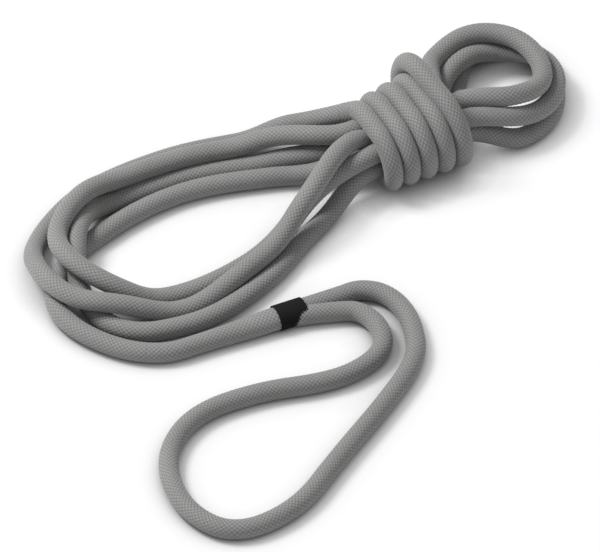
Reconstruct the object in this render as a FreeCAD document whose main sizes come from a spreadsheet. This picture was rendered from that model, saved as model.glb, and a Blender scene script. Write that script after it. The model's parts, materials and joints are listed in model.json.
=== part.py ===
"""Dynamic climbing rope with a spliced eye, put away as a hank.

Millimetres, +Z up, the ground at z = 0. One rope runs from the spliced eye through its whipping
and the lead into four nested loops, through the waist of the hank six times, and then five
times round that waist to its hidden tail. X runs along the hank, from the wide bend to the
small rings. Each loop is laid on the ones before it, as a hand coils a rope: its plan is drawn
through a few named places, and its height is what it rests on.
"""
import FreeCAD, Part
import math
import os
from FreeCAD import Vector

os.makedirs("parts", exist_ok=True)
doc = FreeCAD.newDocument("climbing_rope")

# Driving sizes, in millimetres, degrees and counts
SIZES = {
    "rope_diameter": 10.5,
    "strand_clearance": 0.92,
    "cover_thickness": 1.5,
    "lay_bend_radius": 48,
    "section_sides": 6,
    "station_spacing": 24,
    "sample_step": 2.5,
    "ground_share": 0.4,
    "foot_length": 9.5,
    "mouth_length": 13.7,
    "waist_left_x": 64.5,
    "waist_y": 46.7,
    "ring_near_exit_x": 116,
    "corner_inset": 2.3,
    "wrap_start_x": 66.3,
    "wrap_turns": 5,
    "wrap_clearance": 0.5,
    "wrap_lean": 0.06,
    "wrap_growth": 0.035,
    "wrap_start_angle": 30,
    "wrap_entry_x": 50,
    "wrap_entry_y": 86,
    "wrap_entry_height": 15.2,
    "wrap_entry_heading": -32,
    "wrap_entry_climb": 19.3,
    "bend_centre_x": -65,
    "bend_centre_y": 42,
    "bend_far_angle": 112,
    "near_shoulder_x": 21,
    "near_middle_x": -20,
    "far_middle_x": -26,
    "far_shoulder_x": 23,
    "ring_centre_x": 156.5,
    "ring_centre_y": 58.8,
    "ring_far_angle": 136,
    "ring_near_angle": -104,
    "lead_heading": -5.7,
    "pivot_distance": 12.5,
    "swing_gap": 0.3,
    "swing_relief": 2.3,
    "neck_distance": 24.5,
    "whipping_distance": 45.6,
    "whipping_length": 16.9,
    "whipping_thickness": 0.9,
    "neck_width": 13.4,
    "neck_height": 11,
    "neck_axis_height": 5.9,
    "leg_spacing": 3.6,
    "tail_length": 12,
    "seal_length": 3,
    "seal_diameter": 9,
}

# Reaches of the loops' wide bends, first laid to last: where the loop's shoulders and middles
# lie in Y, and how far from the bend's centre it passes on its way round
BENDS = [
    {"near_angle": 252, "near": 65.1, "near_left": 61.3, "left": 58.2, "far_left": 42.6, "far": 33.2,
     "far_middle": 79, "far_shoulder": 67},
    {"near_angle": 264, "near_shoulder": 19.2, "near_middle": -0.4, "near": 47.8, "near_left": 48.2,
     "left": 40.4, "far_left": 40.5, "far": 50.5, "far_middle": 99.5, "far_shoulder": 80},
    {"near_angle": 264, "near_shoulder": 35, "near_middle": 22.5, "near": 25, "near_left": 28.5,
     "left": 39.4, "far_left": 46.4, "far": 45.5, "far_middle": 94, "far_shoulder": 86.5},
    {"near_angle": 264, "near_shoulder": 26.8, "near_middle": 10.1, "near": 41.2, "near_left": 48.2,
     "left": 58.1, "far_left": 60.5, "far": 63, "far_middle": 111, "far_shoulder": 99},
]
BEND_PLACES = ("near", "near_left", "left", "far_left", "far")

# Reaches of the small rings from the rings' centre, and where each leaves the waist
RINGS = [
    {"exit_x": 111.5, "far_left": 24.5, "far": 27, "far_right": 25.7, "right": 24.8, "near_right": 20.2,
     "near": 15.7, "near_left": 15},
    {"exit_x": 105.5, "far_left": 36.5, "far": 41.5, "far_right": 39.7, "right": 36.7, "near_right": 32,
     "near": 30.5, "near_left": 36},
    {"exit_x": 107, "far_left": 37.2, "far": 41.8, "far_right": 39.7, "right": 25.6, "near_right": 15.4,
     "near": 11.6, "near_left": 10.5},
]
RING_PLACES = ("far_left", "far", "far_right", "right", "near_right", "near", "near_left")

# Route of the eye, from the outer leg of the throat round to the inner leg
EYE_ROUTE = [
    (7.9, -27.6), (18.4, -27.9), (27.9, -35.4), (31.8, -48.3), (29.9, -64), (20.5, -86),
    (-10.5, -106), (-51.5, -128), (-87, -149.5), (-125, -150), (-138.5, -121), (-130, -85),
    (-102, -64), (-64, -66), (-28, -78.5), (-6.3, -78.2), (9.5, -71), (14.7, -55.7),
    (12.1, -44.1), (5.3, -37.3),
]


def fill_sheet(sheet):
    """Write every driving size as a plain number with its alias."""
    rows = dict(SIZES)
    for kind, table in (("bend", BENDS), ("ring", RINGS)):
        for number, reaches in enumerate(table):
            for place, value in reaches.items():
                rows["%s_%s_%s" % (kind, "abcd"[number], place)] = value
    for row, (alias, value) in enumerate(rows.items(), start=1):
        sheet.set("A%d" % row, alias)
        sheet.set("B%d" % row, str(value))
        sheet.setAlias("B%d" % row, alias)
    doc.recompute()


sheet = doc.addObject("Spreadsheet::Sheet", "Sizes")
fill_sheet(sheet)


def size(alias):
    """A driving size, read from the sheet."""
    return float(sheet.get(alias))


def reach(kind, number, place):
    """One named reach of a loop."""
    return size("%s_%s_%s" % (kind, "abcd"[number], place))


D = size("rope_diameter")
PITCH = D + size("strand_clearance")
GROUND = size("ground_share") * D
WRAP_RADIUS = math.hypot(size("corner_inset"), PITCH / 2) + PITCH
WRAP_FLAT = PITCH - size("corner_inset")
WAIST_HEIGHT = GROUND + WRAP_RADIUS
LOW = WAIST_HEIGHT - PITCH / 2
TOP = WAIST_HEIGHT + PITCH / 2
MIDDLE = size("waist_y")
FAR = MIDDLE + PITCH
NEAR = MIDDLE - PITCH
FAR_SLOTS = [(MIDDLE, LOW), (FAR, LOW), (FAR, TOP)]
NEAR_SLOTS = [(NEAR, LOW), (NEAR, TOP), (MIDDLE, TOP)]
ALONG = Vector(1, 0, 0)
UP = Vector(0, 0, 1)
STEP = size("sample_step")
GAP_STEP = 1.5
SELF_LENGTH = 2.2 * PITCH
BEND_SHARE = 0.45
STRAIGHT = 1e-5
BLOCK_WIDTH = 800
BLOCK_DEPTH = 40


def heading(degrees):
    """Level unit vector at an angle from +X."""
    return Vector(math.cos(math.radians(degrees)), math.sin(math.radians(degrees)), 0)


LEAD = heading(size("lead_heading"))
WRAP_ENTRY = Vector(size("wrap_entry_x"), size("wrap_entry_y"), size("wrap_entry_height"))
WRAP_PITCH = D + size("wrap_clearance")


def climbing(heading_degrees, climb_degrees):
    """Unit vector that climbs above a level heading."""
    climb = math.radians(climb_degrees)
    return heading(heading_degrees) * math.cos(climb) + UP * math.sin(climb)


WRAP_ENTRY_WAY = climbing(size("wrap_entry_heading"), size("wrap_entry_climb"))


# Curves: two tangent arcs between any two stations
def arc_station(a, way, b):
    """Middle of the arc from a, leaving along way, to b, with the arc's radius."""
    chord = b - a
    side = chord - way * chord.dot(way)
    if side.Length < STRAIGHT * chord.Length:
        return None, 1e6
    radius = chord.Length ** 2 / (2 * side.Length)
    half = math.atan2(side.Length, chord.dot(way))
    side.normalize()
    middle = a + way * (radius * math.sin(half)) + side * (radius * (1 - math.cos(half)))
    return middle, radius


def biarc(a, way_a, b, way_b):
    """Point and direction where the two arcs between a and b meet."""
    chord = b - a
    share = 2 * (1 - way_a.dot(way_b))
    both = chord.dot(way_a + way_b)
    if share < 1e-9:
        reach_out = chord.dot(chord) / (4 * chord.dot(way_b))
    else:
        reach_out = (math.sqrt(both * both + share * chord.dot(chord)) - both) / share
    first = a + way_a * reach_out
    second = b - way_b * reach_out
    return (first + second) * 0.5, (second - first).normalize()


def through(a, b, c):
    """Direction at b of the circle through a, b and c."""
    u, v = b - a, c - b
    return (u * (v.Length / u.Length) + v * (u.Length / v.Length)).normalize()


def ways(points, fixed):
    """Direction of the curve at each point; fixed gives the known ones by index."""
    found = [None] + [through(*trio) for trio in zip(points, points[1:], points[2:])] + [None]
    found[0] = (points[1] - points[0]).normalize() * 2 - found[1]
    found[-1] = (points[-1] - points[-2]).normalize() * 2 - found[-2]
    for index, way in fixed.items():
        found[index] = way
    return [Vector(way).normalize() for way in found]


def arcs(points, directions):
    """(start, direction, end) of each arc along the stations."""
    found = []
    for a, way_a, b, way_b in zip(points, directions, points[1:], directions[1:]):
        joint, way = biarc(a, way_a, b, way_b)
        found += [(a, way_a, joint), (joint, way, b)]
    return found


def edge(a, way, b):
    """The arc from a to b as an edge, or a line where it is straight."""
    middle, radius = arc_station(a, way, b)
    if middle is None:
        return Part.LineSegment(a, b).toShape()
    return Part.Arc(a, middle, b).toShape()


def samples(points, directions, step):
    """Points along the arcs, about a step apart."""
    found = []
    for a, way, b in arcs(points, directions):
        curve = edge(a, way, b)
        count = max(1, round(curve.Length / step))
        ordered = curve.discretize(count + 1)
        if (ordered[0] - a).Length > (ordered[-1] - a).Length:
            ordered.reverse()
        found += ordered[:-1]
    return found + [points[-1]]


def travelled(points):
    """Distance along the points at each of them."""
    found = [0.0]
    for a, b in zip(points, points[1:]):
        found.append(found[-1] + (b - a).Length)
    return found


def at(points, along, distance):
    """Point at a distance along the points."""
    distance = min(max(distance, 0), along[-1])
    index = next(i for i in range(1, len(along)) if along[i] >= distance)
    share = (distance - along[index - 1]) / (along[index] - along[index - 1])
    return points[index - 1] + (points[index] - points[index - 1]) * share


# Laying: a loop's plan gets the height of what it rests on
def resting_height(point, laid):
    """Lowest height at which a strand clears the ground and all strands laid before it."""
    height = GROUND
    for other in laid:
        gap = math.hypot(point.x - other.x, point.y - other.y)
        if gap < PITCH:
            height = max(height, other.z + math.sqrt(PITCH ** 2 - gap ** 2))
    return height


def lay(plan, laid, start_height, end_height):
    """The plan with heights: it rests on what is below, bends no tighter than the lay radius
    over it, meets the waist at the given heights and is rounded where it touches down."""
    along = travelled(plan)
    rest = []
    for point, distance in zip(plan, along):
        from_end = along[-1] - distance
        in_mouth = start_height and distance < size("mouth_length") or from_end < size("mouth_length")
        rest.append(GROUND if in_mouth else resting_height(point, laid))
    rest[0] = start_height or rest[0]
    rest[-1] = end_height
    drop = 2 * size("lay_bend_radius")
    draped = [max(h - (s - t) ** 2 / drop for h, t in zip(rest, along)) for s in along]
    heights = []
    for s in along:
        near = [h for h, t in zip(draped, along) if abs(s - t) <= size("foot_length")]
        heights.append(max(GROUND, sum(near) / len(near)))
    heights[0] = start_height or heights[0]
    heights[-1] = end_height
    return [Vector(point.x, point.y, height) for point, height in zip(plan, heights)]


def fan(centre, reaches, start, end):
    """Level places round a centre at even angles, each at its own reach."""
    step = (end - start) / (len(reaches) - 1)
    return [centre + heading(start + step * index) * far for index, far in enumerate(reaches)]


def bend_plan(number):
    """Plan of one wide bend, from the waist round the left end and back to the waist."""
    centre = Vector(size("bend_centre_x"), size("bend_centre_y"), 0)
    reaches = [reach("bend", number, place) for place in BEND_PLACES]
    places = fan(centre, reaches, reach("bend", number, "near_angle"), size("bend_far_angle"))
    for place in ("far_middle", "far_shoulder"):
        places.append(Vector(size(place + "_x"), reach("bend", number, place), 0))
    fixed = {0: LEAD * -1}
    if number:
        near_side = [Vector(size("waist_left_x"), NEAR_SLOTS[number - 1][0], 0)]
        for place in ("near_shoulder", "near_middle"):
            near_side.append(Vector(size(place + "_x"), reach("bend", number, place), 0))
        places = near_side + places
        fixed = {0: ALONG * -1}
    if number < len(RINGS):
        places.append(Vector(size("waist_left_x"), FAR_SLOTS[number][0], 0))
        fixed[len(places) - 1] = ALONG
    else:
        places.append(Vector(WRAP_ENTRY.x, WRAP_ENTRY.y, 0))
        fixed[len(places) - 1] = heading(size("wrap_entry_heading"))
    return samples(places, ways(places, fixed), STEP)


def ring_plan(number):
    """Plan of one small ring, out of the waist's far side and back into its near side."""
    centre = Vector(size("ring_centre_x"), size("ring_centre_y"), 0)
    reaches = [reach("ring", number, place) for place in RING_PLACES]
    places = fan(centre, reaches, size("ring_far_angle"), size("ring_near_angle"))
    start = Vector(reach("ring", number, "exit_x"), FAR_SLOTS[number][0], 0)
    end = Vector(size("ring_near_exit_x"), NEAR_SLOTS[number][0], 0)
    places = [start] + places + [end]
    return samples(places, ways(places, {0: ALONG, len(places) - 1: ALONG * -1}), STEP)


def straight(a, b):
    """Points of a straight run."""
    count = max(1, round((b - a).Length / STEP))
    return [a + (b - a) * (index / count) for index in range(count + 1)]


def lay_hank():
    """The hank's stretches in the order in which they are laid: bend, run, ring, run and so on."""
    laid, stretches = [], []

    def keep(points, is_run):
        stretches.append((points, is_run))
        laid.extend(points)

    for number in range(len(BENDS)):
        start_height = NEAR_SLOTS[number - 1][1] if number else None
        if number == len(RINGS):
            keep(lay(bend_plan(number), laid, start_height, WRAP_ENTRY.z), False)
            break
        far_y, far_height = FAR_SLOTS[number]
        near_y, near_height = NEAR_SLOTS[number]
        left, far_exit = size("waist_left_x"), reach("ring", number, "exit_x")
        near_exit = size("ring_near_exit_x")
        keep(lay(bend_plan(number), laid, start_height, far_height), False)
        keep(straight(Vector(left, far_y, far_height), Vector(far_exit, far_y, far_height)), True)
        keep(lay(ring_plan(number), laid, far_height, near_height), False)
        keep(straight(Vector(near_exit, near_y, near_height), Vector(left, near_y, near_height)), True)
    return stretches


def hank_stations(stretches):
    """Stations and directions of the whole hank, a steady step apart."""
    points, directions = [], []
    for number, (stretch, is_run) in enumerate(stretches):
        along = travelled(stretch)
        count = 1 if is_run else max(2, round(along[-1] / size("station_spacing")))
        first = 0 if is_run or number == 0 else 1
        last = count if is_run or number == len(stretches) - 1 else count - 1
        for index in range(first, last + 1):
            distance = along[-1] * index / count
            before = at(stretch, along, distance - STEP)
            after = at(stretch, along, distance + STEP)
            points.append(at(stretch, along, distance))
            directions.append((after - before).normalize())
    return points, directions


def wrap_station(turn, quarters, side, flats):
    """Station and direction of one turn round the waist, from its whole turns before, quarters
    turned since the far side, side of the waist and flats passed. Turns lean and grow."""
    quarter = math.pi * WRAP_RADIUS / 2
    around = 4 * (quarter + WRAP_FLAT)
    angle = math.radians(90 * quarters)
    share = turn + (quarter * quarters + 2 * WRAP_FLAT * flats) / around
    grown = 1 + size("wrap_growth") * share
    across = WRAP_FLAT * side + WRAP_RADIUS * math.cos(angle)
    rise = WRAP_RADIUS * (1 + math.sin(angle))
    x = size("wrap_start_x") + WRAP_PITCH * share - size("wrap_lean") * across
    slant = WRAP_PITCH / around + size("wrap_lean") * math.sin(angle)
    way = Vector(slant, -math.sin(angle), math.cos(angle)).normalize()
    return Vector(x, MIDDLE + across * grown, GROUND + rise * grown), way


def wrap_stations():
    """Stations and directions of the turns round the waist, then of the hidden tail. Each turn
    passes the far side, the two edges of the top, the near side and the two edges of the
    bottom; the last ends at the near edge of the bottom, and the tail runs in below the hank."""
    six = [(0, 1, 0), (1, 1, 0), (1, -1, 1), (2, -1, 1), (3, -1, 1), (3, 1, 2)]
    found = [wrap_station(turn, *place) for turn in range(int(size("wrap_turns"))) for place in six]
    found[0] = wrap_station(0, size("wrap_start_angle") / 90, 1, 0)
    points = [point for point, way in found[:-1]]
    directions = [way for point, way in found[:-1]]
    directions[-1] = Vector(directions[-1].x, directions[-1].y, 0).normalize()
    points.append(points[-1] + directions[-1] * size("tail_length"))
    directions.append(directions[-1])
    return points, directions


def rope_stations():
    """Stations and directions of the whole hank and of its winding, from the lead to the tail."""
    points, directions = hank_stations(lay_hank())
    turns, turn_ways = wrap_stations()
    points = [points[0] + LEAD * D] + points[:-1] + [WRAP_ENTRY] + turns
    directions = [LEAD * -1, LEAD * -1] + directions[1:-1] + [WRAP_ENTRY_WAY] + turn_ways
    return points, directions


def ring_of(centre, way, half_width, half_height):
    """Closed many-sided section about a point, flat above and below."""
    side = UP.cross(way).normalize()
    rise = way.cross(side).normalize()
    corners = []
    sides = int(size("section_sides"))
    for index in range(sides):
        angle = 2 * math.pi * index / sides
        out = side * (half_width * math.cos(angle))
        corners.append(centre + out + rise * (half_height * math.sin(angle)))
    return Part.makePolygon(corners + corners[:1])


def tube(edges, way, diameter, name):
    """Cord along the edges, with its volume compared with section times length."""
    path = Part.Wire(edges)
    section = ring_of(edges_start(edges), way, diameter / 2, diameter / 2)
    solid = path.makePipeShell([section], True, False, 0)
    area = Part.Face(section).Area
    share = solid.Volume / (area * path.Length)
    print("%s: length %.0f mm, volume %.4f of section times length" % (name, path.Length, share))
    return solid


def edges_start(edges):
    """Free end of the first of several joined edges."""
    if len(edges) == 1:
        return edges[0].valueAt(edges[0].FirstParameter)
    ends = [edges[0].valueAt(edges[0].FirstParameter), edges[0].valueAt(edges[0].LastParameter)]
    second = [edges[1].valueAt(edges[1].FirstParameter), edges[1].valueAt(edges[1].LastParameter)]
    return max(ends, key=lambda end: min((end - other).Length for other in second))


def report_line(name, points, directions):
    """Print the least bend radius of a cord and its least gap to itself."""
    radii = [arc_station(a, way, b)[1] for a, way, b in arcs(points, directions)]
    line = samples(points, directions, GAP_STEP)
    along = travelled(line)
    least = 1e6
    for i in range(0, len(line), 2):
        for j in range(i + 1, len(line)):
            if along[j] - along[i] > SELF_LENGTH:
                least = min(least, (line[i] - line[j]).Length)
    print("%s: least radius %.1f mm, least gap %.2f mm" % (name, min(radii), least - D))


def cord_edges(route, height):
    """Straight runs joined by tangent arcs through a level route; prints the radii."""
    points = [Vector(x, y, height) for x, y in route]
    edges, start, radii = [], points[0], []
    for a, b, c in zip(points, points[1:], points[2:]):
        before, after = (b - a).normalize(), (c - b).normalize()
        turn = before.getAngle(after)
        cut = BEND_SHARE * min((b - a).Length, (c - b).Length)
        radius = cut / math.tan(turn / 2)
        radii.append(radius)
        first, last = b - before * cut, b + after * cut
        inward = (after - before).normalize()
        middle = b + inward * (math.hypot(radius, cut) - radius)
        edges.append(Part.LineSegment(start, first).toShape())
        edges.append(Part.Arc(first, middle, last).toShape())
        start = last
    edges.append(Part.LineSegment(start, points[-1]).toShape())
    print("eye radii, mm:", ", ".join("%.0f" % radius for radius in radii))
    return edges


# Document objects
def feature(label, shape):
    """A sub-part whose shape is set by Part's own functions."""
    made = doc.addObject("Part::Feature", label)
    made.Label = label
    made.Shape = shape
    return made


def boolean(kind, label, base, tool):
    """A parametric cut or common of two objects."""
    made = doc.addObject("Part::" + kind, label)
    made.Label = label
    made.Base = base
    made.Tool = tool
    return made


def post(label, centre, radius_expression):
    """Upright cylinder about the swing's pivot, its radius bound to the sheet."""
    made = doc.addObject("Part::Cylinder", label)
    made.Placement.Base = Vector(centre.x, centre.y, -D)
    made.setExpression("Radius", radius_expression)
    made.setExpression("Height", "Sizes.rope_diameter * 3")
    return made


GROUND_BLOCK = Part.makeBox(BLOCK_WIDTH, BLOCK_WIDTH, BLOCK_DEPTH,
                            Vector(-BLOCK_WIDTH / 2, -BLOCK_WIDTH / 2, -BLOCK_DEPTH))


def grounded(solid):
    """The solid with all that lies below the ground cut away, flat."""
    cut = solid.cut(GROUND_BLOCK)
    return cut.Solids[0] if len(cut.Solids) == 1 else cut


def prism(start, way, length, diameter):
    """Straight stretch of cord."""
    return Part.Face(ring_of(start, way, diameter / 2, diameter / 2)).extrude(way * length)


def build_hank():
    """The loops of the hank, the turns round its waist and the sealed end of the tail."""
    points, directions = rope_stations()
    report_line("hank_and_winding", points, directions)
    edges = [edge(*arc) for arc in arcs(points, directions)]
    rope = feature("hank_and_winding", grounded(tube(edges, directions[0], D, "hank_and_winding")))
    seal_way = directions[-1]
    wide, narrow = size("seal_diameter") / 2, size("seal_diameter") / 3
    seal_end = points[-1] + seal_way * size("seal_length")
    seal_form = Part.makeLoft([ring_of(points[-1], seal_way, wide, wide),
                               ring_of(seal_end, seal_way, narrow, narrow)], True, True)
    return points[0], [rope, feature("tail_end_seal", grounded(seal_form))]


def build_lead(start):
    """The lead between the hank and the splice: cover and core, parted at the swing's pivot."""
    inner = D - 2 * size("cover_thickness")
    pivot = start + LEAD * size("pivot_distance")
    print("pivot in the drawing frame: %.2f %.2f" % (pivot.x, pivot.y))
    root_post = post("pivot_round", pivot, "Sizes.rope_diameter / 2")
    relief = post("pivot_relief", pivot, "Sizes.rope_diameter / 2 + Sizes.swing_gap")
    to_pivot = size("pivot_distance")
    ahead = size("swing_relief")
    parts = []
    for label, diameter in (("cover", D), ("core", inner)):
        behind = feature("lead_behind_" + label, grounded(prism(start, LEAD, to_pivot, diameter)))
        over = feature("lead_over_" + label, grounded(prism(start, LEAD, to_pivot + D, diameter)))
        rounded = boolean("Common", "lead_round_" + label, over, root_post)
        joined = boolean("Fuse", "root_lead_" + label + "_form", behind, rounded)
        run = size("neck_distance") - to_pivot - ahead
        front = feature("lead_front_" + label, grounded(prism(pivot + LEAD * ahead, LEAD, run, diameter)))
        hollowed = boolean("Cut", "eye_lead_" + label + "_form", front, relief)
        parts.append((joined, hollowed))
    doc.recompute()
    (root_form, eye_form), (root_core, eye_core) = parts
    return pivot, [
        boolean("Cut", "root_lead_cover", root_form, root_core),
        copy_of("root_lead_core", root_core),
        boolean("Cut", "eye_lead_cover", eye_form, eye_core),
        copy_of("eye_lead_core", eye_core),
    ]


def copy_of(label, source):
    """A sub-part with the finished shape of a form, without its construction edges."""
    return feature(label, source.Shape.removeSplitter())


def build_splice(start):
    """The swelling neck, the whipping round it and the throat where the two legs part."""
    neck_start = start + LEAD * size("neck_distance")
    whipping_start = start + LEAD * size("whipping_distance")
    whipping_end = whipping_start + LEAD * size("whipping_length")
    side = UP.cross(LEAD)

    def raised(point, height):
        return Vector(point.x, point.y, height)

    axis_height = size("neck_axis_height")
    wide, tall = size("neck_width") / 2, size("neck_height") / 2
    inner = D / 2 - size("cover_thickness")
    narrow = 1 - 2 * size("cover_thickness") / D
    neck = Part.makeLoft([ring_of(neck_start, LEAD, D / 2, D / 2),
                          ring_of(raised(whipping_start, axis_height), LEAD, wide, tall)], True, True)
    bound = Part.Face(ring_of(raised(whipping_start, axis_height), LEAD, wide, tall)).extrude(
        LEAD * size("whipping_length"))
    neck_core = Part.makeLoft([ring_of(neck_start, LEAD, inner, inner),
                               ring_of(raised(whipping_start, axis_height), LEAD, wide * narrow, tall * narrow)],
                              True, True)
    neck_cover = grounded(neck.fuse(bound).removeSplitter()).cut(neck_core)
    thick = size("whipping_thickness")
    sleeve = Part.Face(ring_of(raised(whipping_start, axis_height), LEAD, wide + thick, tall + thick)).extrude(
        LEAD * size("whipping_length"))
    whipping = grounded(sleeve.cut(bound))
    legs = []
    for sign, route_end, next_point in ((1, EYE_ROUTE[0], EYE_ROUTE[1]), (-1, EYE_ROUTE[-1], EYE_ROUTE[-2])):
        leg_height = axis_height - (tall - GROUND) / 2
        leg_start = raised(whipping_end, leg_height) + side * (sign * size("leg_spacing") / 2)
        leg_end = Vector(route_end[0], route_end[1], GROUND)
        end_way = (Vector(next_point[0], next_point[1], GROUND) - leg_end).normalize()
        edges = [edge(*arc) for arc in arcs([leg_start, leg_end], [LEAD, end_way])]
        legs.append(tube(edges, LEAD, D, "throat leg"))
    throat = grounded(legs[0].fuse(legs[1]).removeSplitter())
    return [feature("splice_neck_cover", neck_cover), feature("splice_buried_core", grounded(neck_core)),
            feature("throat_whipping", whipping), feature("splice_throat", throat)]


def build_eye():
    """The eye: a round of cord, its cover and its core."""
    edges = cord_edges(EYE_ROUTE, GROUND)
    way = Vector(EYE_ROUTE[1][0] - EYE_ROUTE[0][0], EYE_ROUTE[1][1] - EYE_ROUTE[0][1], 0).normalize()
    inner = D - 2 * size("cover_thickness")
    outside = grounded(tube(edges, way, D, "eye_cover"))
    inside = tube(edges, way, inner, "eye_core")
    return [feature("eye_cover", outside.cut(inside)), feature("eye_core", inside)]


def centred(objects, pivot):
    """Move the whole rope so that the middle of its outline stands on the origin."""
    box = FreeCAD.BoundBox()
    for made in objects:
        box.add(made.Shape.BoundBox)
    shift = Vector(-box.Center.x, -box.Center.y, 0)
    for made in objects:
        made.Placement.Base = made.Placement.Base + shift
    print("shift %.3f %.3f, box %.1f x %.1f x %.1f" % (shift.x, shift.y, box.XLength, box.YLength, box.ZLength))
    print("pivot %.3f %.3f" % (pivot.x + shift.x, pivot.y + shift.y))
    print("lowest %.4f" % box.ZMin)


hank_start, objects = build_hank()
pivot, lead_objects = build_lead(hank_start)
objects += lead_objects + build_splice(hank_start) + build_eye()
doc.recompute()
centred(objects, pivot)
doc.recompute()

for made in doc.Objects:
    if "Invalid" in made.State or "Error" in made.State:
        raise RuntimeError("%s did not build: %s" % (made.Label, made.State))
for made in objects:
    if made.Shape.isNull() or not made.Shape.isValid() or len(made.Shape.Solids) != 1:
        raise RuntimeError("%s is not one valid solid" % made.Label)
    print("%s: %d faces, %.0f mm3" % (made.Label, len(made.Shape.Faces), made.Shape.Volume))
for made in objects:
    made.Shape.exportStep("parts/%s.step" % made.Label)
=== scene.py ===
"""Dynamic climbing rope with a spliced eye, put away as a hank and wound round its waist.

Metres, +Z up, the floor at z = 0. One rope runs from the eye's throat through its whipping and
the swelling neck into four nested loops, six times through the waist, and then five times round
it to the sealed tail. Each loop's plan is drawn through a few places and laid on what is below.
"""
import json
from math import cos, hypot, pi, radians, sin

import bpy
import numpy as np
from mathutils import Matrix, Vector


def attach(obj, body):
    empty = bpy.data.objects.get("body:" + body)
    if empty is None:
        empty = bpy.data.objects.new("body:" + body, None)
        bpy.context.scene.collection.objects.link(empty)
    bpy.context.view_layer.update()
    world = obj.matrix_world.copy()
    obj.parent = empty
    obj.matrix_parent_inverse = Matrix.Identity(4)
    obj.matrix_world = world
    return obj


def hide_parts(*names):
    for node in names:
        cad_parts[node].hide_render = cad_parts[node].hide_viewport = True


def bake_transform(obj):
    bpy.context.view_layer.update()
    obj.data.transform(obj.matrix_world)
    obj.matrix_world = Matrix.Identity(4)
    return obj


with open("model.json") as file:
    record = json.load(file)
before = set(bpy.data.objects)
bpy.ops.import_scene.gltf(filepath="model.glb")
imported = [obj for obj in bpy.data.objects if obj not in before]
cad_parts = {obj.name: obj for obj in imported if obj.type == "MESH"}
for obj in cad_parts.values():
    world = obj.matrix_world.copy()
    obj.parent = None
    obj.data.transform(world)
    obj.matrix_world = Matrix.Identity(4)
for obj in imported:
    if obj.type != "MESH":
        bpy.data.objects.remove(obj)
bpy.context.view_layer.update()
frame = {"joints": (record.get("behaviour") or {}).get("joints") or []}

# The rope and how it is laid, in metres
D = 0.0105  # diameter
PITCH = 0.0107  # rise of a strand that crosses right over another
SIDE_PITCH = 0.0096  # distance in plan at which a strand no longer rises over another
WAIST_PITCH = 0.0102  # spacing of the runs in the waist
SQUEEZE = 0.0004  # how far the turns press into the runs
GROUND = D / 2  # height of a strand that lies on the floor
DRAPE = 0.040  # radius in which a strand comes down from another
FOOT = 0.0095  # half the length over which heights are evened out
MOUTH = 0.0137  # stretch beside the waist in which a strand rests on no other
CORNER_INSET = 0.0023  # from the outer runs' middles in to the turns' corner arcs
PLAN_STEP = 0.0012  # between the points of a plan
STATION = 0.0085  # between the control points of the rope's line

# The waist: six runs in two layers of three, with the winding's radius at its corners
WRAP_RADIUS = hypot(CORNER_INSET, WAIST_PITCH / 2) + WAIST_PITCH - SQUEEZE
WRAP_FLAT = WAIST_PITCH - CORNER_INSET - SQUEEZE
WAIST_HEIGHT = GROUND + WRAP_RADIUS
LOW = WAIST_HEIGHT - WAIST_PITCH / 2
TOP = WAIST_HEIGHT + WAIST_PITCH / 2
MIDDLE = 0.0460
FAR = MIDDLE + WAIST_PITCH
NEAR = MIDDLE - WAIST_PITCH
FAR_SLOTS = ((MIDDLE, LOW), (FAR, LOW), (FAR, TOP))
NEAR_SLOTS = ((NEAR, LOW), (NEAR, TOP), (MIDDLE, TOP))
WAIST_LEFT = 0.0645
RING_NEAR_EXIT = 0.116

# Wide bends, first laid to last: start angle, near side in Y, reaches round, far side in Y
BEND_CENTRE = (-0.065, 0.042)
BEND_FAR_ANGLE = 112
NEAR_SIDE_X = (0.021, -0.020)
FAR_SIDE_X = (-0.026, 0.023)
LEAD_BEND_WAY = (-0.966, 0.259)
BENDS = (
    (252, (), (0.0651, 0.0620, 0.0570, 0.0415, 0.0332), (0.0785, 0.0645)),
    (264, (0.0212, 0.0012), (0.0484, 0.0500, 0.0430, 0.0380, 0.0432), (0.0887, 0.0750)),
    (264, (0.0320, 0.0170), (0.0265, 0.0292, 0.0380, 0.0475, 0.0485), (0.0950, 0.0825)),
    (264, (0.0258, 0.0098), (0.0378, 0.0400, 0.0530, 0.0600, 0.0590), (0.1050, 0.0940)),
)

# Small rings: where each leaves the waist, and its reaches round the rings' centre
RING_CENTRE = (0.1565, 0.0588)
RING_ANGLES = (136, -104)
RINGS = (
    (0.1115, (0.0255, 0.0330, 0.0345, 0.0315, 0.0265, 0.0290, 0.0345)),
    (0.1055, (0.0290, 0.0250, 0.0240, 0.0250, 0.0262, 0.0290, 0.0325)),
    (0.1070, (0.0385, 0.0325, 0.0250, 0.0195, 0.0190, 0.0225, 0.0260)),
)

# Turns round the waist
WRAP_ENTRY = (0.0520, 0.0815, 0.0165)
WRAP_ENTRY_WAY = (0.848, -0.530, 0.330)
WRAP_START = 0.0672
WRAP_PITCH = 0.0099
WRAP_LEAN = 0.12  # along the waist for each metre towards the far side
WRAP_FIRST_TURN = 1 / 12  # share of a turn at which the winding begins
WRAP_LAST_TURN = 4.72  # and at which it ends
WRAP_FIRST_SIZE = 0.965
WRAP_GROWTH = 0.042  # in each turn
CROSSING_TURNS = (3.70, 4.45)  # where the last turn lies over the one before it
CROSSING_FADE = 0.30
CROSSING_SIZE = 0.26
CROSSING_BACK = 0.0050
TURN_STATIONS = 20
TURN_HALF_WIDTH = 0.00505  # along the waist
TURN_HALF_DEPTH = 0.00545  # outwards
TAIL_LENGTH = 0.012  # between the control points of the tail

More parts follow.
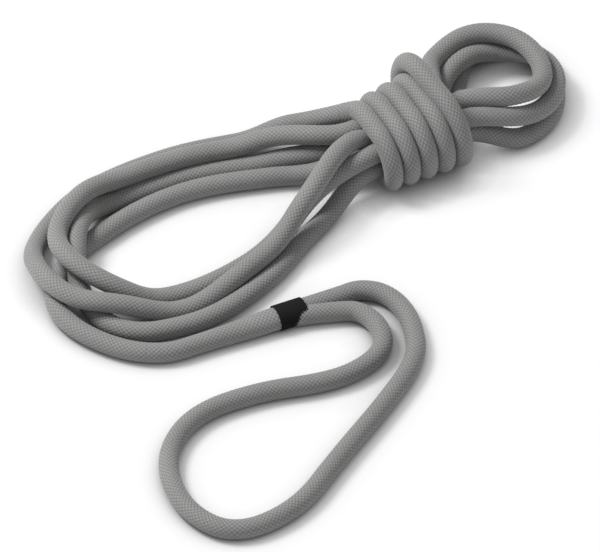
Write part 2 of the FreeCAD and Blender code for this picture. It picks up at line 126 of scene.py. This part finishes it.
# Lead and splice, as distances along the lead from the hank
LEAD_HEADING = -5.7
PIVOT_DISTANCE = 0.0125
PIVOT_IN_DRAWING = (-0.06223, -0.0222)
WHIPPING_DISTANCE = 0.0456
WHIPPING_LENGTH = 0.0169
LEAD_MIDDLE = 0.030  # one more control point of the lead's line
NECK_TAPER = 0.042  # length over which the swelling neck comes down to the rope's size
LEG_SPACING = 0.0036
NECK_HALF_WIDTH = 0.0067
NECK_HALF_HEIGHT = 0.0055
NECK_HEIGHT = 0.0057
TWINE = 0.0009
TWINE_SPACING = TWINE * 1.05
TWINE_SEAT = TWINE * 0.4  # from the neck's surface to the middle of the twine
TWINE_PERIOD = 0.0012  # along which one of its strands goes round
TWINE_RINGS = 64  # in each turn
TWINE_AROUND = 10
LEAD_IN_HANK = 0.025  # how far the lead's piece goes on into the first loop

# Route of the eye in the drawing frame, from the outer leg of the throat round to the inner leg
EYE_ROUTE = (
    (0.0079, -0.0276), (0.0184, -0.0279), (0.0279, -0.0354), (0.0318, -0.0483), (0.0299, -0.0640),
    (0.0205, -0.0860), (-0.0105, -0.1060), (-0.0515, -0.1280), (-0.0870, -0.1495),
    (-0.1250, -0.1500), (-0.1385, -0.1210), (-0.1300, -0.0850), (-0.1020, -0.0640),
    (-0.0640, -0.0660), (-0.0280, -0.0785), (-0.0063, -0.0782), (0.0095, -0.0710),
    (0.0147, -0.0557), (0.0121, -0.0441), (0.0053, -0.0373),
)

# The cover's braid
STRANDS = 14  # in each of two families
BRAID_PERIOD = 0.0024
RELIEF = 0.00026
AROUND = 70  # points round the rope
RING_STEP = 0.0004  # between the rings of points
MAP = "braid"

# The rope's pieces from the whipping to the tail
ROPE_PIECES = ("lead_and_neck", "first_loop", "first_ring", "second_loop", "second_ring", "third_loop",
               "third_ring", "fourth_loop", "first_turns", "last_turns")

# The melted end of the tail
SEAL_LENGTH = 0.0028
SEAL_RADIUS = 0.97 * D / 2
SEAL_RINGS = 10
SEAL_AROUND = 32
SEAL_LAST_SHARE = 0.98  # of the dome's length, where a flat fan closes it

# The floor and the light
FLOOR_HALF = 6
FLOOR_GLOW = 0.8  # share of its own light in what the camera sees of the open floor
SLIT_REACH = 0.018  # distance within which a strand darkens the floor with painted shade
WORLD_LIGHT = 0.34
LAMPS = (  # name, watts, side, place
    ("key_from_upper_left", 50, 0.7, (-0.85, 0.95, 1.75)),
    ("fill_from_front", 5, 1.6, (0.8, -1.3, 1.5)),
)

# Colours
# painted shade: the colour of the braid's hollows and the grooves between its yarns
HOLLOW_PAINTED_SHADE = (0.066, 0.066, 0.065, 1)
DARK_YARN = (0.230, 0.230, 0.227, 1)
PALE_YARN = (0.380, 0.380, 0.375, 1)
# dark end of the twine: random flecks, and painted shade in the grooves between its strands
DARK_TWINE_AND_GROOVE_SHADE = (0.003, 0.003, 0.003, 1)
PALE_TWINE = (0.012, 0.012, 0.012, 1)
DARK_MELT = (0.06, 0.06, 0.055, 1)
PALE_MELT = (0.16, 0.16, 0.15, 1)
SHADED_FLOOR = (0.25, 0.25, 0.25, 1)
OPEN_FLOOR = (0.9, 0.9, 0.9, 1)

SWING = frame["joints"][0]["pos_m"]
SHIFT = np.array((SWING[0] - PIVOT_IN_DRAWING[0], SWING[1] - PIVOT_IN_DRAWING[1], 0.0))
LEAD = np.array((cos(radians(LEAD_HEADING)), sin(radians(LEAD_HEADING)), 0.0))
ACROSS_LEAD = np.array((-LEAD[1], LEAD[0], 0.0))

# The photograph's camera: a long lens from the near left, 45 degrees above the floor
VIEW_AZIMUTH = -30
VIEW_ELEVATION = 45
CAMERA_DISTANCE = 12
SENSOR = 36  # millimetres, as is the lens
LENS = 1398.5


def set_camera():
    """Camera at the photograph's viewing angle, aimed at the drawing frame's origin."""
    azimuth, elevation = radians(VIEW_AZIMUTH), radians(VIEW_ELEVATION)
    back = Vector((sin(azimuth) * cos(elevation), -cos(azimuth) * cos(elevation), sin(elevation)))
    data = bpy.data.cameras.new("photo_camera")
    data.sensor_width = SENSOR
    data.lens = LENS
    camera = bpy.data.objects.new("photo_camera", data)
    camera.location = Vector(SHIFT) + back * CAMERA_DISTANCE
    camera.rotation_euler = back.to_track_quat("Z", "Y").to_euler()
    bpy.context.scene.collection.objects.link(camera)
    bpy.context.scene.camera = camera


set_camera()


# Lines
def unit(vectors):
    """The vectors at length one, row by row."""
    vectors = np.asarray(vectors, float)
    return vectors / np.linalg.norm(vectors, axis=-1, keepdims=True)


def smooth_step(share):
    """Three times the square of the share less twice its cube, for a share kept from 0 to 1."""
    share = np.clip(share, 0, 1)
    return share**2 * (3 - 2 * share)


def travelled(points):
    """Distance along the points at each of them: the running sum of the steps' lengths."""
    return np.concatenate([[0.0], np.cumsum(np.linalg.norm(np.diff(points, axis=0), axis=1))])


def at(points, distances):
    """Points at distances along a line, straight between its own points."""
    along = travelled(points)
    return np.column_stack([np.interp(distances, along, column) for column in np.asarray(points).T])


def swing_through(places, first=None, last=None):
    """Smooth plan through places. At each place the way is that of the circle through it and its
    neighbours; between two it is the cubic that leaves and arrives on their ways, pulled by four
    chord lengths over two plus the root of two plus twice the cosine of the turn."""
    places = np.asarray(places, float)
    runs = np.diff(places, axis=0)
    lengths = np.linalg.norm(runs, axis=1)[:, None]
    ways = np.empty_like(places)
    ways[1:-1] = unit(runs[:-1] / lengths[:-1] * lengths[1:] + runs[1:] / lengths[1:] * lengths[:-1])
    ways[0] = 2 * runs[0] / lengths[0] - ways[1] if first is None else first
    ways[-1] = 2 * runs[-1] / lengths[-1] - ways[-2] if last is None else last
    ways = unit(ways)
    found = []
    for index, length in enumerate(lengths[:, 0]):
        t = np.linspace(0, 1, max(2, int(length / PLAN_STEP)), endpoint=False)[:, None]
        turn = np.clip(ways[index] @ ways[index + 1], -1, 1)
        pull = length * 4 / (2 + np.sqrt(2 + 2 * turn))
        a, b = places[index], places[index + 1]
        found.append(a * (2 * t**3 - 3 * t**2 + 1) + b * (3 * t**2 - 2 * t**3)
                     + pull * (ways[index] * (t**3 - 2 * t**2 + t) + ways[index + 1] * (t**3 - t**2)))
    return np.vstack(found + [places[-1:]])


def fan(centre, reaches, first_angle, last_angle):
    """Places round a centre at even angles, each at its own reach."""
    turns = np.radians(np.linspace(first_angle, last_angle, len(reaches)))
    return [(centre[0] + reach * cos(turn), centre[1] + reach * sin(turn))
            for reach, turn in zip(reaches, turns)]


def lay(plan, laid, start_height, end_height):
    """The plan with heights. A point rests on the floor, or on a strand below it: crossing it, one
    pitch higher, and less by an ellipse towards its side, where the two lie pressed together. The
    rope then drapes off that on a parabola and is evened out over its foot's length."""
    along = travelled(plan)
    rest = np.full(len(plan), GROUND)
    if len(laid):
        gap = np.linalg.norm(plan[:, None] - laid[None, :, :2], axis=2)
        over = laid[None, :, 2] + PITCH * np.sqrt(np.clip(1 - (gap / SIDE_PITCH)**2, 0, None))
        rest = np.maximum(rest, np.where(gap < SIDE_PITCH, over, GROUND).max(axis=1))
        rest[along > along[-1] - MOUTH] = GROUND
        if start_height:
            rest[along < MOUTH] = GROUND
    rest[0] = start_height or rest[0]
    rest[-1] = end_height
    apart = along[:, None] - along[None]
    draped = (rest[None] - apart**2 / (2 * DRAPE)).max(axis=1)
    near = np.abs(apart) <= FOOT
    heights = np.maximum(GROUND, (near * draped[None]).sum(axis=1) / near.sum(axis=1))
    return np.column_stack([plan, heights])


def bend_line(number, laid):
    """One wide bend of the hank, from the waist round the left end and back to the waist."""
    near_angle, near_side, reaches, far_side = BENDS[number]
    places = fan(BEND_CENTRE, reaches, near_angle, BEND_FAR_ANGLE) + list(zip(FAR_SIDE_X, far_side))
    first, start_height = LEAD_BEND_WAY, None
    if number:
        start_y, start_height = NEAR_SLOTS[number - 1]
        places = [(WAIST_LEFT, start_y)] + list(zip(NEAR_SIDE_X, near_side)) + places
        first = (-1, 0)
    if number == len(RINGS):
        plan = swing_through(places + [WRAP_ENTRY[:2]], first, WRAP_ENTRY_WAY[:2])
        return lay(plan, laid, start_height, WRAP_ENTRY[2])
    end_y, end_height = FAR_SLOTS[number]
    plan = swing_through(places + [(WAIST_LEFT, end_y)], first, (1, 0))
    return lay(plan, laid, start_height, end_height)


def ring_line(number, laid):
    """One small ring, out of the waist's far side and back into its near side."""
    exit_x, reaches = RINGS[number]
    start_y, start_height = FAR_SLOTS[number]
    end_y, end_height = NEAR_SLOTS[number]
    places = [(exit_x, start_y)] + fan(RING_CENTRE, reaches, *RING_ANGLES) + [(RING_NEAR_EXIT, end_y)]
    return lay(swing_through(places, (1, 0), (-1, 0)), laid, start_height, end_height)


def waist_run(start_x, end_x, slot):
    """Straight run through the waist in one of its slots."""
    x = np.arange(start_x, end_x, np.sign(end_x - start_x) * PLAN_STEP)
    return np.column_stack([x, np.full(len(x), slot[0]), np.full(len(x), slot[1])])


def hank_lines():
    """The hank's stretches in the order in which they are laid: bend, run, ring, run and so on."""
    stretches, laid = [], np.zeros((0, 3))
    for number in range(len(BENDS)):
        stretches.append(bend_line(number, laid))
        laid = np.vstack([laid, stretches[-1]])
        if number == len(RINGS):
            return stretches
        exit_x = RINGS[number][0]
        stretches.append(waist_run(WAIST_LEFT, exit_x, FAR_SLOTS[number]))
        laid = np.vstack([laid, stretches[-1]])
        stretches.append(ring_line(number, laid))
        stretches.append(waist_run(RING_NEAR_EXIT, WAIST_LEFT, NEAR_SLOTS[number]))
        laid = np.vstack([laid, stretches[-2], stretches[-1]])


def winding_stations():
    """Stations of the turns round the waist. Their number, with its part, gives how far a turn has
    gone round the rounded outline of the six runs: a far quarter, the top, a near half, the bottom
    and a far quarter. Each turn lies a pitch further along, leans a little and is slightly larger
    than the last. The last one starts further back and crosses over the one before it, by a smooth
    step up and down. The tail then goes straight on along the floor."""
    quarter = pi * WRAP_RADIUS / 2
    around = 4 * (quarter + WRAP_FLAT)
    turns = np.arange(WRAP_FIRST_TURN, WRAP_LAST_TURN, 1 / TURN_STATIONS)
    gone = (turns % 1) * around
    marks = np.array((0, quarter, quarter + 2 * WRAP_FLAT, 3 * quarter + 2 * WRAP_FLAT,
                      3 * quarter + 4 * WRAP_FLAT, around))
    angle = np.interp(gone, marks, np.array((0, 0.5, 0.5, 1.5, 1.5, 2)) * pi)
    flat = np.interp(gone, marks, np.array((1, 1, -1, -1, 1, 1)) * WRAP_FLAT)
    begin, finish = CROSSING_TURNS
    crossing = smooth_step(np.minimum(turns - begin, finish - turns) / CROSSING_FADE)
    size = WRAP_FIRST_SIZE + WRAP_GROWTH * turns + CROSSING_SIZE * crossing
    across = flat + WRAP_RADIUS * np.cos(angle)
    x = WRAP_START + WRAP_PITCH * turns + WRAP_LEAN * across - CROSSING_BACK * crossing
    y = MIDDLE + across * size
    z = GROUND + WRAP_RADIUS * (1 + np.sin(angle)) * size
    tail = np.array([(x[-1], y[-1] + TAIL_LENGTH * step, GROUND) for step in (1, 2)])
    return np.vstack([np.column_stack([x, y, z]), tail])


def along_nurbs(stations):
    """Points of the smooth NURBS line that has these stations as its control points."""
    data = bpy.data.curves.new("route", "CURVE")
    data.dimensions = "3D"
    spline = data.splines.new("NURBS")
    spline.points.add(len(stations) - 1)
    spline.points.foreach_set("co", np.column_stack([stations, np.ones(len(stations))]).ravel())
    spline.order_u = 3
    spline.use_endpoint_u = True
    spline.resolution_u = 12
    curve = bpy.data.objects.new("route", data)
    mesh = bpy.data.meshes.new_from_object(curve)
    points = np.empty(len(mesh.vertices) * 3)
    mesh.vertices.foreach_get("co", points)
    bpy.data.objects.remove(curve)
    bpy.data.curves.remove(data)
    bpy.data.meshes.remove(mesh)
    return points.reshape(-1, 3)


def rope_route():
    """Stations of the whole rope from the whipping to the tail, and the hank's stretches."""
    stretches = hank_lines()
    whipping_end = WHIPPING_DISTANCE + WHIPPING_LENGTH
    distances = np.array((whipping_end, WHIPPING_DISTANCE, LEAD_MIDDLE, PIVOT_DISTANCE, 0))
    lead = stretches[0][0] + LEAD * (D + distances[:, None])
    lead[:2, 2] = NECK_HEIGHT
    hank = np.vstack(stretches)
    hank = at(hank, np.arange(0, travelled(hank)[-1] - STATION / 2, STATION))
    return np.vstack([lead, hank, WRAP_ENTRY, winding_stations()]) + SHIFT, stretches


# Frames and surfaces
def rope_frames(points, references):
    """Side and rise at each point, and how far a pattern that never spins has turned from the side.
    The side is square to the reference and the way along the points. The turn is the running sum of
    the angles by which each side, carried to the next point, misses that point's own."""
    way = unit(np.gradient(points, axis=0))
    side = unit(np.cross(references, way))
    rise = np.cross(way, side)
    carried = side[:-1] - way[1:] * (side[:-1] * way[1:]).sum(axis=1)[:, None]
    missed = np.arctan2((carried * rise[1:]).sum(axis=1), (carried * side[1:]).sum(axis=1))
    return side, rise, np.concatenate([[0.0], np.cumsum(missed)])


def braid_height(around, periods):
    """Height of the cover's plain braid, from 0 to 1. Strands of two families cross at a slant: a
    strand is a rounded ridge, one minus the square of its distance from its middle, and goes over
    and under the other family by the product of two sines. The higher family shows."""
    first = around * STRANDS + periods
    second = around * STRANDS - periods
    wave = np.sin(pi * first) * np.sin(pi * second)
    over = 1 - (2 * (first % 1) - 1) ** 2 + wave
    under = 1 - (2 * (second % 1) - 1) ** 2 - wave
    return np.clip(np.maximum(over, under) / 2, 0, 1)


def surface(name, grid, along, material):
    """Closed tube from a grid of points, rings by points around. Its map holds the share round the
    tube and the rings' values along it. A fan of triangles to the middle closes each end."""
    rings, around = grid.shape[:2]
    row, column = np.meshgrid(np.arange(rings - 1), np.arange(around), indexing="ij")
    right = (column + 1) % around
    below, above = row * around, (row + 1) * around
    quads = np.stack([below + column, below + right, above + right, above + column], axis=-1).reshape(-1, 4)
    first, last = rings * around, rings * around + 1
    ring = np.arange(around)
    turned = np.roll(ring, -1)
    base = (rings - 1) * around
    starts = np.stack([np.full(around, first), turned, ring], axis=-1)
    ends = np.stack([np.full(around, last), base + ring, base + turned], axis=-1)
    vertices = np.vstack([grid.reshape(-1, 3), grid[0].mean(axis=0), grid[-1].mean(axis=0)])
    mesh = bpy.data.meshes.new(name)
    mesh.from_pydata(vertices, [], quads.tolist() + starts.tolist() + ends.tolist())
    shares = np.stack([column, column + 1, column + 1, column], axis=-1) / around
    periods = np.stack([along[:-1], along[:-1], along[1:], along[1:]], axis=-1)
    periods = periods[:, None].repeat(around, axis=1)
    cap_shares = np.stack([ring + 0.5, ring + 1, ring], axis=-1) / around
    first_cap = np.stack([cap_shares, np.full((around, 3), along[0])], axis=-1)
    last_cap = np.stack([cap_shares[:, (0, 2, 1)], np.full((around, 3), along[-1])], axis=-1)
    corners = [np.stack([shares, periods], axis=-1), first_cap, last_cap]
    mesh.uv_layers.new(name=MAP).data.foreach_set("uv", np.concatenate([part.ravel() for part in corners]))
    mesh.polygons.foreach_set("use_smooth", np.ones(len(mesh.polygons), bool))
    mesh.materials.append(material)
    mesh.update()
    piece = bpy.data.objects.new(name, mesh)
    bpy.context.scene.collection.objects.link(piece)
    return piece


def braided_tube(name, points, along, frames, half_width, half_height):
    """Braided cord along points: an oval of the given half sizes about each point, whose radius
    falls by the relief between the strands of the braid."""
    side, rise, turned = frames
    share = np.arange(AROUND) / AROUND
    angle = 2 * pi * share[None] + turned[:, None]
    periods = along / BRAID_PERIOD
    sunk = RELIEF * (1 - braid_height(share[None], periods[:, None]))
    wide = (np.broadcast_to(half_width, len(points))[:, None] - sunk) * np.cos(angle)
    tall = (np.broadcast_to(half_height, len(points))[:, None] - sunk) * np.sin(angle)
    grid = points[:, None] + side[:, None] * wide[..., None] + rise[:, None] * tall[..., None]
    return surface(name, grid, periods, COVER)


# Materials
class Socket:
    """An output in a material. Arithmetic on it adds Math nodes."""

    def __init__(self, paint, output):
        self.paint = paint
        self.output = output

    def math(self, operation, *others):
        """A Math node of this operation on this value and the others."""
        return self.paint.node("ShaderNodeMath", {"operation": operation}, dict(enumerate((self,) + others)))

    def __add__(self, other):
        return self.math("ADD", other)

    def __radd__(self, other):
        return self.math("ADD", other)

    def __sub__(self, other):
        return self.math("SUBTRACT", other)

    def __rsub__(self, other):
        return (self * -1) + other

    def __mul__(self, other):
        return self.math("MULTIPLY", other)

    def __rmul__(self, other):
        return self.math("MULTIPLY", other)

    def __gt__(self, other):
        return self.math("GREATER_THAN", other)

    def sine(self):
        """Sine of the value."""
        return self.math("SINE")

    def fraction(self):
        """What is left of the value after its whole part."""
        return self.math("FRACT")

    def ridge(self):
        """One minus the square of the distance from the middle of each whole step."""
        offset = self.fraction() * 2 - 1
        return 1 - offset * offset

    def largest(self, other):
        """The larger of two values."""
        return self.math("MAXIMUM", other)


class Paint:
    """A material under construction, with one method that adds any node."""

    def __init__(self, name, **plain):
        self.material = bpy.data.materials.new(name)
        self.material.use_nodes = True
        self.tree = self.material.node_tree
        self.shader = self.tree.nodes["Principled BSDF"]
        for socket, value in plain.items():
            self.shader.inputs[socket.replace("_", " ")].default_value = value

    def node(self, kind, settings=None, values=None, output=0):
        """Adds a node: its settings first, then the values or links of its inputs."""
        made = self.tree.nodes.new(kind)
        for setting, value in (settings or {}).items():
            setattr(made, setting, value)
        for socket, value in (values or {}).items():
            if isinstance(value, Socket):
                self.tree.links.new(value.output, made.inputs[socket])
            else:
                made.inputs[socket].default_value = value
        return Socket(self, made.outputs[output])

    def mix(self, factor, first, second):
        """Colour between two colours."""
        return self.node("ShaderNodeMix", {"data_type": "RGBA"}, {0: factor, 6: first, 7: second}, 2)

    def braid_map(self):
        """Share round the tube and value along it, from the piece's map."""
        place = self.node("ShaderNodeUVMap", {"uv_map": MAP})
        share = self.node("ShaderNodeSeparateXYZ", None, {0: place})
        return share, Socket(self, share.output.node.outputs[1])

    def bump(self, strength, distance, height):
        """Relief of the given depth, fed to the shader's normal."""
        values = {"Strength": strength, "Distance": distance, "Height": height}
        self.feed("Normal", self.node("ShaderNodeBump", None, values))

    def noise(self, scale, detail=2.0):
        """Cloudy value of the object's own place."""
        place = self.node("ShaderNodeTexCoord", output=3)
        return self.node("ShaderNodeTexNoise", None, {"Vector": place, "Scale": scale, "Detail": detail})

    def feed(self, socket, value):
        """Link a value to one of the shader's inputs."""
        self.tree.links.new(value.output, self.shader.inputs[socket])


def braid_paint():
    """Braided polyamide cover: mid-grey yarns with painted shade in the braid's hollows and between
    each strand's parallel yarns, which also make a fine relief, and slow changes of tone along the rope."""
    paint = Paint("braided_cover", Roughness=0.78, Sheen_Weight=0.25, Sheen_Roughness=0.5)
    around, periods = paint.braid_map()
    first = around * STRANDS + periods
    second = around * STRANDS - periods
    wave = (first * pi).sine() * (second * pi).sine()
    over = first.ridge() + wave
    under = second.ridge() - wave
    height = over.largest(under) * 0.5
    first_shows = over > under
    yarns = (first * 3).ridge() * first_shows + (second * 3).ridge() * (1 - first_shows)
    cloud = paint.noise(38)
    fleck = paint.noise(900, 3)
    tone = cloud * 0.55 + fleck * 0.45
    strand = paint.mix(tone, DARK_YARN, PALE_YARN)
    # painted shade: the colour darkens where the braid and its yarns lie low
    paint.feed("Base Color", paint.mix(height * 0.75 + yarns * 0.25, HOLLOW_PAINTED_SHADE, strand))
    paint.bump(0.55, 0.00018, height * 0.6 + yarns * 0.3 + fleck * 0.3)
    return paint.material


def twine_paint():
    """Near-black whipping twine, laid from three strands, with random flecks and painted shade between the
    strands.
    """
    paint = Paint("whipping_twine", Roughness=0.8, Specular_IOR_Level=0.2)
    around, periods = paint.braid_map()
    strands = (around * 3 + periods).ridge()
    fleck = paint.noise(1400)
    # half random fleck, half painted shade that darkens towards the edges of each strand
    paint.feed("Base Color", paint.mix(fleck * 0.5 + strands * 0.5, DARK_TWINE_AND_GROOVE_SHADE, PALE_TWINE))
    paint.bump(0.5, 0.0001, strands)
    return paint.material


def melt_paint():
    """Melted fibre at the sealed end of the tail: dark, smooth and slightly glossy."""
    paint = Paint("sealed_end", Roughness=0.35)
    blister = paint.noise(500)
    paint.feed("Base Color", paint.mix(blister, DARK_MELT, PALE_MELT))
    paint.bump(0.4, 0.0003, blister)
    return paint.material


# Pieces
def rings_along(line):
    """Points evenly along a line, about a ring's step apart, and how far along it each one is."""
    length = travelled(line)[-1]
    along = np.linspace(0, length, round(length / RING_STEP) + 1)
    return at(line, along), along


def make_rope():
    """The rope from the whipping to the tail: the lead, the loops and rings, cut inside the waist,
    and the winding, cut half way along. Returns the points of its line."""
    stations, stretches = rope_route()
    points, along = rings_along(along_nurbs(stations))
    wrap_start = np.searchsorted(along, along[-1] - travelled(winding_stations())[-1], side="right")
    references = np.tile((0.0, 0.0, 1.0), (len(points), 1))
    references[wrap_start:] = (1.0, 0.0, 0.0)
    side, rise, turned = rope_frames(points, references)
    swollen = smooth_step(1 - (along - WHIPPING_LENGTH) / NECK_TAPER)
    half_width = D / 2 + (NECK_HALF_WIDTH - D / 2) * swollen
    half_height = D / 2 + (NECK_HALF_HEIGHT - D / 2) * swollen
    half_width[wrap_start:] = TURN_HALF_DEPTH
    half_height[wrap_start:] = TURN_HALF_WIDTH
    cuts = [0, np.searchsorted(along, WHIPPING_DISTANCE + WHIPPING_LENGTH + LEAD_IN_HANK)]
    for run in stretches[1::2]:
        cuts.append(np.linalg.norm(points - (run.mean(axis=0) + SHIFT), axis=1).argmin())
    cuts += [wrap_start, (wrap_start + len(points)) // 2, len(points) - 1]
    for name, start, end in zip(ROPE_PIECES, cuts, cuts[1:]):
        part = slice(start, end + 1)
        frames = (side[part], rise[part], turned[part])
        piece = braided_tube(name, points[part], along[part], frames, half_width[part], half_height[part])
        if start:
            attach(piece, "hank")
            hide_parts("hank_and_winding")
        else:
            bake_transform(piece)
            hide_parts("root_lead_cover", "root_lead_core", "eye_lead_cover", "eye_lead_core",
                        "splice_neck_cover", "splice_buried_core")
    return points


def make_eye():
    """The eye: one length of the rope whose two legs come out of the whipping side by side."""
    middle = WHIPPING_DISTANCE - PIVOT_DISTANCE + WHIPPING_LENGTH / 2
    throat = np.array(PIVOT_IN_DRAWING + (GROUND,)) + LEAD * middle
    leg = ACROSS_LEAD * LEG_SPACING / 2
    route = [(x, y, GROUND) for x, y in EYE_ROUTE]
    points, along = rings_along(along_nurbs(np.vstack([throat + leg, route, throat - leg]) + SHIFT))
    frames = rope_frames(points, np.tile((0.0, 0.0, 1.0), (len(points), 1)))
    piece = braided_tube("spliced_eye", points, along, frames, D / 2, D / 2)
    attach(piece, "eye_end")
    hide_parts("eye_cover", "eye_core", "splice_throat")


def make_whipping():
    """Turns of twine round the throat: a helix on an oval, its round section carried along it."""
    turns = round(WHIPPING_LENGTH / TWINE_SPACING)
    gone = np.linspace(0, turns, turns * TWINE_RINGS + 1)[:, None]
    ahead = WHIPPING_DISTANCE - PIVOT_DISTANCE + TWINE / 2 + gone / turns * (WHIPPING_LENGTH - TWINE)
    across = (NECK_HALF_WIDTH + TWINE_SEAT) * np.cos(2 * pi * gone)
    height = (NECK_HALF_HEIGHT + TWINE_SEAT) * np.sin(2 * pi * gone)
    start = np.array(PIVOT_IN_DRAWING + (NECK_HEIGHT,)) + SHIFT
    points = start + LEAD * ahead + ACROSS_LEAD * across + np.array((0.0, 0.0, 1.0)) * height
    side, rise, _ = rope_frames(points, np.tile(LEAD, (len(points), 1)))
    section = np.linspace(0, 2 * pi, TWINE_AROUND, endpoint=False)[None, :, None]
    grid = points[:, None] + TWINE / 2 * (side[:, None] * np.cos(section) + rise[:, None] * np.sin(section))
    piece = surface("whipping_turns", grid, travelled(points) / TWINE_PERIOD, twine_paint())
    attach(piece, "eye_end")
    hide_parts("throat_whipping")


def make_sealed_tail(rope_points):
    """Melted cap on the end of the tail: a dome whose radius falls as the root of one minus the
    square of the share of its length."""
    end, way = rope_points[-1], unit(rope_points[-1] - rope_points[-4])
    side = unit(np.cross((0.0, 0.0, 1.0), way))
    rise = np.cross(way, side)
    share = np.linspace(0, SEAL_LAST_SHARE, SEAL_RINGS)
    angle = np.linspace(0, 2 * pi, SEAL_AROUND, endpoint=False)[:, None]
    middles = end + way * (SEAL_LENGTH * share)[:, None]
    radius = SEAL_RADIUS * np.sqrt(1 - share**2)[:, None, None]
    grid = middles[:, None] + radius * (side * np.cos(angle) + rise * np.sin(angle))
    piece = surface("sealed_tail_end", grid, share, melt_paint())
    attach(piece, "hank")
    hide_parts("tail_end_seal")


# Floor and light
def make_floor():
    """Pale floor that keeps the soft shadows. To the camera it also glows, near white in the open. Its
    colour and its glow carry painted shade in the slits between strands: by the square of its openness over
    a short reach."""
    mesh = bpy.data.meshes.new("floor")
    corners = [(x * FLOOR_HALF, y * FLOOR_HALF, 0) for x, y in ((-1, -1), (1, -1), (1, 1), (-1, 1))]
    mesh.from_pydata(corners, [], [(0, 1, 2, 3)])
    paint = Paint("floor", Roughness=0.9)
    openness = paint.node("ShaderNodeAmbientOcclusion", {"samples": 8}, {"Distance": SLIT_REACH}, 1)
    open_share = openness * openness
    # painted shade: the floor's colour darkens where strands hem it in
    paint.feed("Base Color", paint.mix(open_share, SHADED_FLOOR, OPEN_FLOOR))
    camera_sees = paint.node("ShaderNodeLightPath")
    glow = paint.node("ShaderNodeEmission", None, {"Strength": 1})
    lit = Socket(paint, paint.shader.outputs[0])
    # painted shade: the glow also fades where strands hem the floor in
    glow_share = camera_sees * open_share * FLOOR_GLOW
    seen = paint.node("ShaderNodeMixShader", None, {0: glow_share, 1: lit, 2: glow})
    paint.tree.links.new(seen.output, paint.tree.nodes["Material Output"].inputs["Surface"])
    mesh.materials.append(paint.material)
    floor = bpy.data.objects.new("floor", mesh)
    bpy.context.scene.collection.objects.link(floor)


def area_light(name, energy, size, place):
    """Soft square lamp aimed at the middle of the frame."""
    data = bpy.data.lights.new(name, "AREA")
    data.energy = energy
    data.size = size
    lamp = bpy.data.objects.new(name, data)
    lamp.location = place
    lamp.rotation_euler = Vector(place).to_track_quat("Z", "Y").to_euler()
    bpy.context.scene.collection.objects.link(lamp)


def light_scene():
    """The lamps, an even white world and plain colour management."""
    for lamp in LAMPS:
        area_light(*lamp)
    world = bpy.data.worlds.new("studio")
    world.use_nodes = True
    background = world.node_tree.nodes["Background"]
    background.inputs["Color"].default_value = (1, 1, 1, 1)
    background.inputs["Strength"].default_value = WORLD_LIGHT
    bpy.context.scene.world = world
    bpy.context.scene.view_settings.view_transform = "Standard"


COVER = braid_paint()
rope_line = make_rope()
make_eye()
make_whipping()
make_sealed_tail(rope_line)
make_floor()
light_scene()
